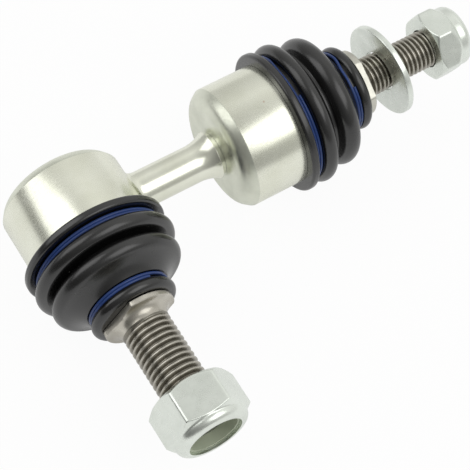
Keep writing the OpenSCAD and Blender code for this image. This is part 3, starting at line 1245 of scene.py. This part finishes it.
def finishes() -> dict[str, Material]:
    """Makes every material.

    Returns:
        The materials by name.
    """
    zinc = {"light": (0.87, 0.88, 0.77), "dark": (0.79, 0.80, 0.68), "marks": 2200.0}
    # The forged end is a rougher, darker copy of the zinc; the darker colour is partly the forged
    # finish and partly painted shade.
    forged_shaded_zinc = {**zinc, "light": (0.80, 0.82, 0.71), "dark": (0.67, 0.69, 0.59)}
    cup = {"depth": 0.0026, "stain": (0.50, 0.24, 0.18)}
    made = [
        MetalFinish("zinc_turned", **zinc, **cup, rough=(0.21, 0.30)),
        MetalFinish("zinc_forged_painted_shade", **forged_shaded_zinc, **cup, rough=(0.28, 0.42)),
        MetalFinish("zinc_rod", **zinc, rough=(0.19, 0.26), depth=0.002),
        MetalFinish("bright", (0.84, 0.88, 0.82), (0.76, 0.80, 0.74), (0.24, 0.34), depth=0.002),
        MetalFinish("steel_lower", (0.60, 0.575, 0.51), (0.43, 0.405, 0.35), (0.24, 0.36)),
        MetalFinish("steel_upper", (0.66, 0.65, 0.58), (0.54, 0.53, 0.47), (0.30, 0.42)),
        MetalFinish("ring_steel", (0.55, 0.53, 0.49), (0.45, 0.43, 0.40), (0.30, 0.45)),
        # Thread colours: crests painted light as highlight, roots painted dark as shade.
        ThreadFinish("thread_painted_light", (0.50, 0.475, 0.42), (0.25, 0.235, 0.20), (0.22, 0.32)),
        SoftFinish(
            "rubber",
            light=(0.005, 0.005, 0.005),
            dark=(0.003, 0.003, 0.003),
            rough=(0.20, 0.30),
            shine=0.85,
            dust=(0.10, 0.10, 0.09),
        ),
        SoftFinish(
            "wire",
            light=(0.025, 0.065, 0.24),
            dark=(0.014, 0.040, 0.16),
            rough=(0.26, 0.36),
            grain=500.0,
            depth=0.004,
        ),
        SoftFinish("seat", (0.86, 0.85, 0.79), (0.80, 0.79, 0.73), (0.4, 0.55)),
        SoftFinish("nylon", (0.55, 0.60, 0.46), (0.46, 0.51, 0.38), (0.4, 0.55)),
    ]
    return {finish.name: finish.build() for finish in made}


def dressed_nodes(paint: dict[str, Material]) -> dict[str, Material]:
    """Chooses the material of each CAD node, hidden ones too.

    Args:
        paint: Materials by name.

    Returns:
        Materials by node.
    """
    chosen = {"link_rod": paint["zinc_rod"], "upper_washer": paint["bright"]}
    for side in Side:
        name = side.value
        chosen[f"{name}_housing"] = paint["zinc_turned"]
        chosen[f"{name}_ball_seat"] = paint["seat"]
        chosen[f"{name}_closing_ring"] = paint["ring_steel"]
        chosen[f"{name}_ball_stud"] = paint[f"steel_{name}"]
        chosen[f"{name}_boot"] = paint["rubber"]
        chosen[f"{name}_boot_large_ring"] = paint["wire"]
        chosen[f"{name}_boot_small_ring"] = paint["wire"]
        chosen[f"{name}_nut"] = paint["bright"]
        chosen[f"{name}_nut_insert"] = paint["nylon"]
    return chosen


def studs(lower: Axis, upper: Axis) -> list[Stud]:
    """Gives the studs their sizes.

    Args:
        lower: Axis of the lower joint.
        upper: Axis of the upper joint.

    Returns:
        The lower and the upper stud.
    """
    return [
        Stud(
            lower,
            thread=6.0,
            pitch=1.5,
            start=31.8,
            full_end=50.5,
            tip=56.8,
            collar=9.0,
            collar_end=29.4,
            fillet=2.4,
            flats=14.4,
            flats_turn=141.0,
        ),
        Stud(
            upper,
            thread=5.0,
            pitch=1.25,
            start=31.0,
            full_end=36.0,
            tip=56.0,
            collar=8.5,
            collar_end=30.2,
            fillet=0.8,
            flats=14.0,
            flats_turn=212.0,
        ),
    ]


def nuts(lower: Axis, upper: Axis) -> list[Nut]:
    """Gives the nuts their sizes.

    Args:
        lower: Axis of the lower joint.
        upper: Axis of the upper joint.

    Returns:
        The lower and the upper nut.
    """
    return [
        Nut(
            lower,
            at=50.6,
            across=19.0,
            height=12.0,
            hexagon=9.6,
            crown_bevel=28.0,
            turn=2.0,
            thread=6.0,
        ),
        Nut(
            upper,
            at=50.1,
            across=16.0,
            height=10.0,
            hexagon=6.2,
            crown_bevel=56.0,
            turn=21.0,
            thread=5.0,
        ),
    ]


def joints(lower: Axis, upper: Axis) -> list[Joint]:
    """Gives the ball joints their sizes.

    Args:
        lower: Axis of the lower joint.
        upper: Axis of the upper joint.

    Returns:
        The lower and the upper joint.
    """
    return [
        Joint(lower, shoulder=7.3, fold_2=(14.4, 18.55, 2.3), large_end=310.0, small_end=60.0),
        Joint(upper, shoulder=5.4, fold_2=(13.9, 18.4, 2.8), large_end=195.0, small_end=211.0),
    ]


def main() -> None:
    """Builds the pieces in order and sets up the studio."""
    logging.basicConfig(level=logging.INFO, format="%(name)s: %(message)s")
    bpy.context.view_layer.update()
    paint = finishes()
    for node in Dressing(dressed_nodes(paint)).apply():
        LOG.info("dressed CAD node %s", node)
    lower, upper = Axis(Side.LOWER), Axis(Side.UPPER)
    made = [Rod(lower, upper).build(paint["zinc_rod"]), Washer(upper).build(paint["bright"])]
    for stud in studs(lower, upper):
        made += stud.build(paint[f"steel_{stud.axis.side.value}"], paint["thread_painted_light"])
    made += [nut.build(paint["bright"]) for nut in nuts(lower, upper)]
    for joint in joints(lower, upper):
        made += joint.build(paint)
    for piece in made:
        LOG.info("built %s", piece.name)
    Studio().build()


if __name__ == "__main__":
    main()
